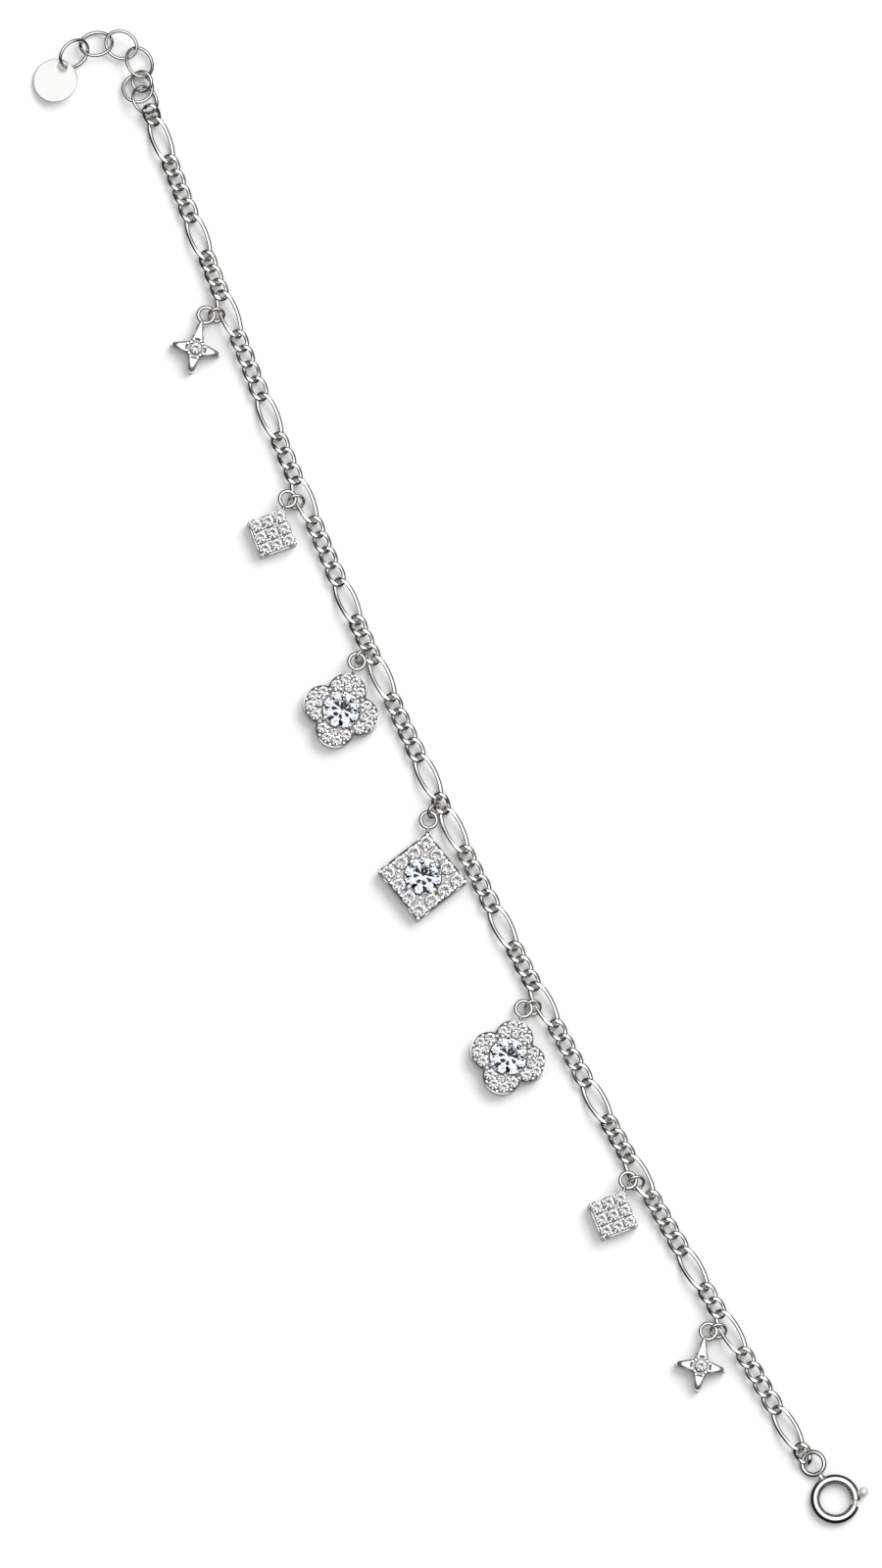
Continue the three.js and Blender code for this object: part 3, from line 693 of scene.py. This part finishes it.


# A cast plate: rings of points shrink from the outline to the middle, or to the round hole under a large
# stone. The rim is rounded by its distance from the edge, the web between stones is sunk, and each small
# stone has a cone cut for it. Gives the points, and how much shade is painted on each: painted shade in the
# sunk web, none in the cups under the stones.
def castPlate(outline, stones, look):
    hole, top, crown = look["hole"], plate["top"], look["crown"]
    inside = unit(outline) * hole if hole else outline * plate["middle"]

    def ring(part, z):
        return atHeight(outline * (1 - part) + inside * part, z)

    rows = [atHeight(unit(outline) * plate["pocket"], 0) if hole else ring(1, 0)]
    rows += [ring(plate["footInset"], 0), ring(0, plate["footRise"])]
    rows += [ring(0, z) for z in (*plate["wallRows"], top - crown)]
    wallRows = len(rows)
    parts = np.linspace(0, 1, plate["ringsToHole"] if hole else plate["rings"])[1:] ** plate["crowding"]
    rows += [ring(plate["firstRing"] + (1 - plate["firstRing"]) * part, top) for part in parts]
    points = np.stack(rows)
    level = points[wallRows:, :, :2]
    gap = edgeDistance(level, outline)
    t = np.clip(gap / (crown * plate["crownReach"]), 0, 1)
    height = top - crown * (1 - (1 - (1 - t) ** 3) ** (1 / 3))
    reach = np.linalg.norm(level, axis=-1)
    if "tipFall" in look:
        toTip = np.clip((reach - look["tipFrom"]) / (look["arm"] - look["tipFrom"]), 0, 1)
        height -= look["tipFall"] * toTip ** 2 * (level[..., 0] < look["waist"])
        web = 1 - smoothStep(reach, look["sunk"] - plate["sunkEdge"], look["sunk"])
    else:
        web = smoothStep(gap, *plate["web"])
    height -= plate["webDepth"] * web
    # Painted shade over the sunk web; none in the cups under the stones.
    paintedShade = plate["webShade"] * web
    for x, y, radius in stones:
        away = np.linalg.norm(level - np.array([x, y]), axis=-1) / radius
        cup = top - plate["cupRim"] - plate["cupDepth"] * (1 - np.clip(away, 0, 1))
        height = np.where(away < 1, np.minimum(height, cup), height)
        paintedShade = np.where(away < 1, 0, paintedShade)
    points[wallRows:, :, 2] = height
    return points, np.concatenate([np.zeros((wallRows, len(outline))), paintedShade])


# A round brilliant: table, 8 stars, 8 kites, 16 upper halves, girdle, 16 lower halves and 8 mains.
# Star and lower-half corners lie on the planes of the kites and mains beside them.
def brilliant(x, y, look, radius, culet, girdle, girdleHeight, top, turn):
    main = headed(turn + 45 * np.arange(8))
    between = headed(turn + 45 * np.arange(8) + 22.5)
    around = headed(turn + 22.5 * np.arange(16))
    lean = np.cos(np.radians(22.5))
    crown = girdle + girdleHeight
    slope = (top - crown) / (1 - look["table"])
    starZ = top - (look["star"] * lean - look["table"]) * slope
    lowerZ = culet + look["lowerHalf"] * lean * (girdle - culet)

    def ring(directions, size, z):
        return atHeight(directions * size * radius, z)

    points = np.concatenate([
        ring(main, look["table"], top), ring(between, look["star"], starZ), ring(around, 1, crown),
        ring(around, 1, girdle), ring(between, look["lowerHalf"], lowerZ), [[0, 0, culet]],
    ]) + np.array([x, y, 0])
    stars, upper, lower, halves, tip = 8, 16, 32, 48, 56  # first point of each ring after the table's
    faces = [list(range(8))]
    for k in range(8):
        after, before = (k + 1) % 8, (k - 1) % 8
        even, odd, nextEven = 2 * k, 2 * k + 1, (2 * k + 2) % 16
        faces += [
            [k, stars + k, after],
            [k, stars + before, upper + even, stars + k],
            [stars + k, upper + even, upper + odd],
            [stars + k, upper + odd, upper + nextEven],
            [upper + even, lower + even, lower + odd, upper + odd],
            [upper + odd, lower + odd, lower + nextEven, upper + nextEven],
            [halves + k, lower + odd, lower + even],
            [halves + k, lower + nextEven, lower + odd],
            [tip, halves + k, lower + even, halves + before],
        ]
    return points, faces


# A grain of metal pushed up beside a stone: a small dome.
def grainDome(x, y, radius):
    base, top = plate["top"] - grain["foot"], plate["top"] + grain["height"]
    profile = [(radius * grain["skirt"], base)]
    profile += [(radius * wide, top - radius * drop) for wide, drop in grain["dome"]]
    return turned(profile, x, y, grain["sides"])


# A claw: a post whose line steps in over the stone's edge, narrowed at its flat-domed top.
def stoneClaw(angle):
    lift = np.array(claw["rows"])
    heights = claw["foot"] + (claw["top"] - claw["foot"]) * lift
    reach = claw["at"] - claw["lean"] * smoothStep(lift, *claw["leanRows"])
    line = outward(angle) * reach[:, None] + zAxis * heights[:, None]
    section = roundSection(2 * claw["radius"], 2 * claw["radius"], claw["sides"])
    return barShell(line, section, outward(angle), claw["swell"])


# A thin ring let in beside a stone's edge, given full painted shade to stand for the shadow in the gap round
# the stone.
def paintedShadeRing(x, y, radius):
    reach = radius + seat["gap"]
    return wireRing(np.array([x, y, plate["top"] - seat["depth"]]), xAxis, yAxis, reach, reach, seat)


# The bail's ring, and the neck that joins it to the plate: a bar that narrows on the way.
def bailShells(look, height):
    raised = zAxis * height
    centre = outward(look["swing"]) * look["bailAt"] + raised
    shells = [wireRing(centre, xAxis, yAxis, bail["radius"], bail["radius"], bail)]
    if look["neck"]:
        reach = look["bailAt"] - bail["radius"] + np.linspace(*bail["neckReach"])
        line = outward(look["swing"]) * reach[:, None] + raised
        swell = np.interp(reach, [reach[0], reach[len(reach) // 2], reach[-1]], bail["neckSwell"])
        section = roundSection(look["neck"], bail["wire"], bail["sides"])
        shells.append(barShell(line, section, zAxis, swell))
    return shells


# Each shape: its sizes, its outline, and its stones and grains.
shapes = {
    "star": (star, starOutline(star), *starStones(star)),
    "square": (square, squareOutline(square), squareStones(square), squareGrains(square)),
    "clover": (clover, cloverOutline(clover), *cloverStones(clover)),
    "diamond": (diamond, squareOutline(diamond), squareStones(diamond), squareGrains(diamond)),
}


# Turns shells about the vertical, x cos - y sin and x sin + y cos, and moves them to their middle.
def placed(shells, direction, middle):
    c, s = headed(direction)
    turn = np.array([[c, s, 0], [-s, c, 0], [0, 0, 1]])
    return [(points @ turn + middle, faces) for points, faces in shells]


# The small stones, each turned a little further than the one before.
def smallStones(stones):
    girdle = plate["top"] + smallCut["rise"]
    return [
        brilliant(
            x, y, smallCut, radius, girdle - smallCut["depth"] * radius, girdle, smallCut["girdleHeight"],
            girdle + smallCut["crownHeight"], smallCut["turn"] * i,
        )
        for i, (x, y, radius) in enumerate(stones)
    ]


for name, (shape, x, _, bailFrom, ringFrom, azimuth, tilt, up) in charms.items():
    look, outline, stones, grains = shapes[shape]
    linkPlace = routePoint(x) + centring
    bailPlace = linkPlace[:2] + np.array(bailFrom[:2])
    middle = np.append(bailPlace - headed(up + look["swing"]) * look["bailAt"], 0)

    points, shade = castPlate(outline, stones, look)
    claws = [stoneClaw(45 + 90 * i) for i in range(4)] if look["hole"] else []
    shadeRings = [paintedShadeRing(*stone) for stone in stones]
    shells = [ringShell(points, looped=bool(look["hole"]))] + claws + shadeRings
    # Painted shade for the extra points: none on the claws, full on the rings round the stones.
    bright, dark = (sum(len(points) for points, _ in some) for some in (claws, shadeRings))
    shade = np.concatenate([shade.ravel(), np.zeros(bright), np.ones(dark)])
    body = makePiece(f"{name}_mount", placed(shells, up, middle), castSilver, paintedShade=shade)
    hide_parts(f"{name}_setting")

    bailPiece = makePiece(f"{name}_bail", placed(bailShells(look, bailFrom[2]), up, middle), ringSilver)

    domes = placed([grainDome(*one) for one in grains], up, middle)
    grainPiece = makePiece(f"{name}_grains", domes, grainSilver, smoothBelow=35)

    smallPiece = makePiece(f"{name}_pave", placed(smallStones(stones), up, middle), paveStone, smoothBelow=0)

    if look["hole"]:
        sizes = (largeCut[key] for key in ("radius", "culet", "girdle", "girdleHeight", "top", "turn"))
        large = placed([brilliant(0, 0, largeCut, *sizes)], up, middle)
        stonePiece = makePiece(f"{name}_brilliant", large, clearStone, smoothBelow=0)
        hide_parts(f"{name}_stone")

    tilt = np.radians(tilt)
    axis = outward(azimuth) * np.sin(tilt) + zAxis * np.cos(tilt)
    level = unit(np.cross(axis, zAxis))
    centre = np.append(linkPlace[:2] + np.array(ringFrom[:2]), ringFrom[2])
    loop = wireRing(centre, level, np.cross(axis, level), jumpRing["radius"], jumpRing["radius"], jumpRing)
    ringPiece = makePiece(f"{name}_jumpRing", [loop], ringSilver)
    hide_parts(f"{name}_ring")
print("charms set")

# The spring-ring clasp. Angles are in degrees round its middle.
clasp = {
    "centre": (219.8, 1.05, 0.69), "radius": 2.85, "tube": 0.64, "mouth": (44.5, 61.5), "socketEnd": 38,
    "bore": 0.44, "boreEnd": 135, "boreRow": 125, "mouthRow": 5, "slot": (74, 112), "slotRows": 10,
    "slotWidth": 0.46, "slotColumns": 4, "restColumns": 24, "backFrom": 118, "backRows": 84,
    "lip": 0.08, "lipSizes": (0.03, -0.06, -0.02),
}
eye = {
    "at": 5.89, "direction": 186.5, "radius": 1.6, "wire": 0.66, "height": 0.943, "tilt": 21.8,
    "steps": 56, "sides": 16,
}
neck = {
    "reach": (3.2, 4.5, 9), "width": 0.95, "height": 0.55, "sides": 16, "rise": 0.08,
    "waist": 0.8, "flare": 0.45,
}
lever = {
    "radius": 0.29, "span": (41, 100), "rows": 25, "sides": 14, "dome": (0.3, 0.72, 0.95),
    "stemAt": 79.6, "stem": 0.17, "stemRows": 5, "stemSides": 12,
    "knob": 0.655, "knobAt": 4.17, "knobSweep": 88, "knobRows": 17, "knobSides": 28,
}


# Points round the clasp's ring: at each angle, outward * (radius + size cos t) - up * size sin t.
def aroundRing(angles, radii, turns):
    out = atHeight(headed(angles), 0)[:, None]
    size = np.asarray(radii)[:, None, None]
    turn = np.radians(turns)[..., None]
    return out * (clasp["radius"] + size * np.cos(turn)) - zAxis * size * np.sin(turn)


# The hollow ring as one skin: out of the bore, over the mouth's lip, round the outside to the other lip
# and down into the socket. Columns follow the slot's edges, which are nearer the middle in the bore.
def hollowRing():
    bore, tube = clasp["bore"], clasp["tube"]
    first, last = clasp["mouth"][1], clasp["mouth"][0] + 360
    soft = np.degrees(clasp["lip"] / clasp["radius"])
    slotAngles = np.linspace(*clasp["slot"], clasp["slotRows"])
    start = [first + clasp["mouthRow"], first + soft / 2]
    inner = np.concatenate([[clasp["boreEnd"], clasp["boreRow"]], slotAngles[::-1], start])
    back = np.linspace(clasp["backFrom"], last - soft, clasp["backRows"])
    outer = np.concatenate([[first + soft], slotAngles, back])
    lip = np.array([first, first, first + soft / 4])
    lipSize = np.array([bore, tube, tube]) + clasp["lipSizes"]
    farLip = np.array([last - soft / 4, last, last, last - soft, clasp["socketEnd"] + 360])
    farSize = np.array([*lipSize[::-1], bore, bore])
    angles = np.concatenate([inner, lip, outer, farLip])
    radii = np.concatenate([np.full(len(inner), bore), lipSize, np.full(len(outer), tube), farSize])

    def columns(size):
        half = np.degrees(np.arcsin(clasp["slotWidth"] / 2 / size))
        inSlot = np.linspace(-half, half, clasp["slotColumns"] + 1)
        return np.concatenate([inSlot[:-1], np.linspace(half, 360 - half, clasp["restColumns"] + 1)[:-1]])

    points = aroundRing(angles, radii, np.stack([columns(size) for size in radii]))
    flat, faces = ringShell(points, looped=False)
    across = points.shape[1]
    skin, caps = np.array(faces[:-2]), faces[-2:]  # the skin is opened along the slot, and walled there
    row, column = np.divmod(skin[:, 0], across)
    innerStart, outerStart = 2, len(inner) + len(lip) + 1  # the slot's first rows, in the bore and outside
    spans = len(slotAngles) - 1
    slotRows = [(row >= start) & (row < start + spans) for start in (innerStart, outerStart)]
    inSlot = np.any(slotRows, axis=0) & (column < clasp["slotColumns"])
    walls = []
    for step in range(spans):
        outerHere, outerNext = (outerStart + step) * across, (outerStart + step + 1) * across
        innerHere, innerNext = (innerStart + spans - step) * across, (innerStart + spans - step - 1) * across
        walls.append([outerHere, innerHere, innerNext, outerNext])
        edge = clasp["slotColumns"]
        walls.append([outerNext + edge, innerNext + edge, innerHere + edge, outerHere + edge])
    for column in range(clasp["slotColumns"]):
        for begin, end, way in ((0, spans, 1), (spans, 0, -1)):
            a, b = (outerStart + begin) * across + column, (innerStart + end) * across + column
            walls.append([a, a + 1, b + 1, b][::way])
    return flat, skin[~inSlot].tolist() + walls + caps


# The eye: a plain ring that leans to one side.
def claspEye():
    centre = outward(eye["direction"]) * eye["at"] + zAxis * (eye["height"] - clasp["centre"][2])
    along, across = slopedAxes(eye["direction"] - 180, 0, np.tan(np.radians(eye["tilt"])))
    return wireRing(centre, along, across, eye["radius"], eye["radius"], eye)


# The neck between ring and eye: a straight bar, wider by the square of the way from its middle.
def claspNeck():
    reach = np.linspace(*neck["reach"])
    line = outward(eye["direction"]) * reach[:, None] + zAxis * neck["rise"]
    swell = neck["waist"] + neck["flare"] * np.linspace(-1, 1, len(reach)) ** 2
    section = roundSection(neck["width"], neck["height"], neck["sides"])
    return barShell(line, section, zAxis, swell)


claspCentre = np.array(clasp["centre"]) + centring
shells = [(points + claspCentre, faces) for points, faces in (hollowRing(), claspEye(), claspNeck())]
claspBody = makePiece("springRing", shells, claspSilver, smoothBelow=40)
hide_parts("clasp_ring")


# The trigger: a curved tongue with domed ends along the ring's centre line, and a straight stem that
# carries a ball, which is an arc of points turned round the vertical.
def triggerShells():
    rows, sides, dome = lever["rows"], lever["sides"], np.array(lever["dome"])
    swell = np.concatenate([dome, np.ones(rows - 2 * len(dome)), dome[::-1]])
    turns = np.broadcast_to(np.arange(sides) * 360 / sides, (rows, sides))
    tongue = aroundRing(np.linspace(*lever["span"], rows), lever["radius"] * swell, turns)
    reach = np.linspace(clasp["radius"], lever["knobAt"], lever["stemRows"])
    section = roundSection(2 * lever["stem"], 2 * lever["stem"], lever["stemSides"])
    stem = barShell(outward(lever["stemAt"]) * reach[:, None], section, zAxis)
    profile = headed(np.linspace(-lever["knobSweep"], lever["knobSweep"], lever["knobRows"])) * lever["knob"]
    ball = turned(profile, *(headed(lever["stemAt"]) * lever["knobAt"]), lever["knobSides"])
    return [ringShell(tongue, looped=False), stem, ball]


shells = [(points + claspCentre, faces) for points, faces in triggerShells()]
trigger = makePiece("springTrigger", shells, triggerSilver, body="trigger", smoothBelow=40)
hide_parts("clasp_trigger")
print("clasp ready")

# Floor, light and camera.
view = {
    "aim": (-0.00021, 0.00148, 0.001), "distance": 4.5, "height": 0.22073, "tilt": 11, "tiltToward": -45,
    "upward": (-0.90035, 0.43516, 0), "sensor": 36, "clip": (0.05, 20),
}
floorLook = {
    "side": 4, "drop": 0.00002, "grainSize": 900, "tones": (0.93, 0.95), "roughness": 0.9, "shine": 0.1,
}
lampLook = {"place": (-0.4, 1.1, 1.1), "size": 1.5, "watts": 22}

floorMaterial, floorTree, floorShader = newMaterial("palePaper")
floorPlace = addNode(floorTree, "ShaderNodeTexCoord")
floorGrain = addNode(floorTree, "ShaderNodeTexNoise", {"Scale": floorLook["grainSize"]})
darker, lighter = ((tone, tone, tone, 1) for tone in floorLook["tones"])
floorTone = addNode(floorTree, "ShaderNodeMix", {"A": darker, "B": lighter}, data_type="RGBA")
linkNodes(floorTree, [
    (floorPlace, "Object", floorGrain, "Vector"),
    (floorGrain, "Fac", floorTone, "Factor"),
    (floorTone, "Result", floorShader, "Base Color"),
])
floorShader.inputs["Roughness"].default_value = floorLook["roughness"]
floorShader.inputs["Specular IOR Level"].default_value = floorLook["shine"]

floorMesh = bpy.data.meshes.new("floor")
corners = np.array([[-1, -1, 0], [1, -1, 0], [1, 1, 0], [-1, 1, 0]]) * floorLook["side"]
floorMesh.from_pydata((corners - zAxis * floorLook["drop"]).tolist(), [], [[0, 1, 2, 3]])
floorMesh.materials.append(floorMaterial)
floor = bpy.data.objects.new("floor", floorMesh)
scene.collection.objects.link(floor)
floor.visible_glossy = False  # metal mirrors the room instead
floor.visible_transmission = False

light = bpy.data.lights.new("keyLight", "AREA")
light.shape = "DISK"
light.size = lampLook["size"]
light.energy = lampLook["watts"]
lamp = bpy.data.objects.new("keyLight", light)
lamp.location = lampLook["place"]
lamp.rotation_euler = (-Vector(lampLook["place"])).to_track_quat("-Z", "Y").to_euler()
lamp.visible_camera = False
lamp.visible_glossy = False
scene.collection.objects.link(lamp)

# The room round it: one for metal, one for stones, and a plain one for the camera and the floor.
room = {
    "shadedSide": {
        0: 0.2, 0.05: 0.1, 0.12: 0.01, 0.2: 0.002, 0.6: 0.002, 0.66: 0.02, 0.85: 0.02, 0.91: 0.4, 0.97: 0.85,
    },
    "litSide": {
        0: 0.25, 0.1: 0.12, 0.2: 0.02, 0.3: 0.006, 0.57: 0.006, 0.64: 0.05, 0.83: 0.05, 0.9: 0.4, 0.96: 0.85,
    },
    "stone": {0: 0, 0.078: 0.005, 0.095: 0.5, 0.18: 0.58, 0.26: 0.42, 0.32: 0.24, 0.4: 0.18, 0.9: 0.13},
    "metalTint": (1, 1, 1.01), "stoneTint": (0.93, 0.97, 1.04), "plain": (0.36, 0.36, 0.36), "strength": 2,
    "lampWay": (-0.33, 0.94, 0), "litFrom": -0.1, "litTo": 0.8,
}
tilt = np.radians(view["tilt"])
away = outward(view["tiltToward"]) * np.sin(tilt) + zAxis * np.cos(tilt)
world = bpy.data.worlds.new("studio")
scene.world = world
world.use_nodes = True
sky = world.node_tree
background = sky.nodes["Background"]
background.inputs["Strength"].default_value = room["strength"]


# A colour ramp: at each place, a brightness times the tint.
def tintedRamp(levels, tint):
    ramp = addNode(sky, "ShaderNodeValToRGB")
    spots = list(ramp.color_ramp.elements)
    for place, level in levels.items():
        spot = spots.pop(0) if spots else ramp.color_ramp.elements.new(place)
        spot.position = place
        spot.color = (*(level * part for part in tint), 1)
    return ramp


# Metal sees brightness by height, from straight down at 0 to straight up at 1, in a room that is light
# toward the lamp and dark on the other side, under a bright ceiling.
direction = addNode(sky, "ShaderNodeTexCoord")
split = addNode(sky, "ShaderNodeSeparateXYZ")
height = addNode(sky, "ShaderNodeMapRange", {"From Min": -1})
shadedSide = tintedRamp(room["shadedSide"], room["metalTint"])
litSide = tintedRamp(room["litSide"], room["metalTint"])
towardLamp = addNode(sky, "ShaderNodeVectorMath", {1: room["lampWay"]}, operation="DOT_PRODUCT")
litSpan = {"From Min": room["litFrom"], "From Max": room["litTo"]}
lit = addNode(sky, "ShaderNodeMapRange", litSpan, interpolation_type="SMOOTHSTEP")
metalRoom = addNode(sky, "ShaderNodeMix", data_type="RGBA")

# Stones see a bright room with the dark round of the camera in it, brightness by angle from the camera.
toCamera = addNode(sky, "ShaderNodeVectorMath", {1: tuple(away)}, operation="DOT_PRODUCT")
angle = addNode(sky, "ShaderNodeMath", operation="ARCCOSINE")
share = addNode(sky, "ShaderNodeMath", {1: np.pi}, operation="DIVIDE")
stoneRoom = tintedRamp(room["stone"], room["stoneTint"])

path = addNode(sky, "ShaderNodeLightPath")
through = addNode(sky, "ShaderNodeMix", data_type="RGBA")
plain = addNode(sky, "ShaderNodeMath", operation="MAXIMUM")
seen = addNode(sky, "ShaderNodeMix", {"B": (*room["plain"], 1)}, data_type="RGBA")
linkNodes(sky, [
    (direction, "Generated", split, "Vector"),
    (split, "Z", height, "Value"),
    (height, "Result", shadedSide, "Fac"),
    (height, "Result", litSide, "Fac"),
    (direction, "Generated", towardLamp, 0),
    (towardLamp, "Value", lit, "Value"),
    (lit, "Result", metalRoom, "Factor"),
    (shadedSide, "Color", metalRoom, "A"),
    (litSide, "Color", metalRoom, "B"),
    (direction, "Generated", toCamera, 0),
    (toCamera, "Value", angle, 0),
    (angle, "Value", share, 0),
    (share, "Value", stoneRoom, "Fac"),
    (metalRoom, "Result", through, "A"),
    (stoneRoom, "Color", through, "B"),
    (path, "Is Transmission Ray", through, "Factor"),
    (path, "Is Camera Ray", plain, 0),
    (path, "Is Diffuse Ray", plain, 1),
    (plain, "Value", seen, "Factor"),
    (through, "Result", seen, "A"),
    (seen, "Result", background, "Color"),
])

camera = bpy.data.cameras.new("camera")
camera.sensor_width = view["sensor"]
camera.lens = view["sensor"] * view["distance"] / view["height"]
camera.clip_start, camera.clip_end = view["clip"]
viewer = bpy.data.objects.new("camera", camera)
scene.collection.objects.link(viewer)
viewer.location = np.array(view["aim"]) + away * view["distance"]
backward = Vector(away)
rightward = Vector(view["upward"]).cross(backward).normalized()
turn = Matrix((rightward, backward.cross(rightward), backward)).transposed()
viewer.rotation_mode = "QUATERNION"
viewer.rotation_quaternion = turn.to_quaternion()
scene.camera = viewer
scene.view_settings.view_transform = "Standard"
print("stage set")
